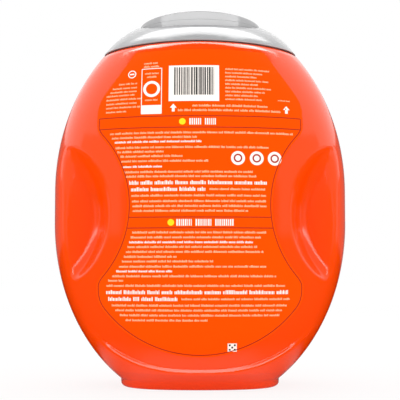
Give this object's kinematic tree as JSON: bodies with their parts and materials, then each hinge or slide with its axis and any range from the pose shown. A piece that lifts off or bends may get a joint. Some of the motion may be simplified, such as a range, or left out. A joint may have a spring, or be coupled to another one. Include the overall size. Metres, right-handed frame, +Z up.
{
  "type": "laundry pod tub",
  "caption": "Oval blow-moulded tub for laundry pods, with finger scoops, wrap labels, a press-on collar and a round flip lid held by press latches.",
  "frame": {"origin": "middle of the tub's foot, on the surface that it stands on", "axes": "+Z up, +Y towards the front with the thumb tab and latches, -Y towards the back with the lid's hinge, +X to the right when seen from the back"},
  "size_m": [0.2472, 0.191, 0.3101],
  "materials": {
    "orange_tub": "glossy orange blow-moulded plastic",
    "orange_label": "satin orange in-mould label film with small print",
    "silver_lid": "glossy pearl-silver moulded plastic",
    "grey_latch": "glossy grey moulded plastic"
  },
  "bodies": {
    "tub": {"tub_body": "orange_tub", "back_label": "orange_label", "front_label": "orange_label", "lid_collar": "silver_lid"},
    "lid": {"flip_lid": "silver_lid"},
    "left_latch": {"left_latch_button": "grey_latch"},
    "right_latch": {"right_latch_button": "grey_latch"}
  },
  "joints": [
    {"name": "lid_hinge", "type": "hinge", "parent": "tub", "child": "lid", "pos_m": [0, -0.0517, 0.3032], "axis": [1, 0, 0], "range_deg": [0, 110]},
    {"name": "left_latch_press", "type": "slide", "parent": "tub", "child": "left_latch", "axis": [0.4695, -0.8829, 0], "range_m": [0, 0.003], "stiffness_N_per_m": 600, "springref_m": -0.001},
    {"name": "right_latch_press", "type": "slide", "parent": "tub", "child": "right_latch", "axis": [-0.4695, -0.8829, 0], "range_m": [0, 0.003], "stiffness_N_per_m": 600, "springref_m": -0.001}
  ]
}
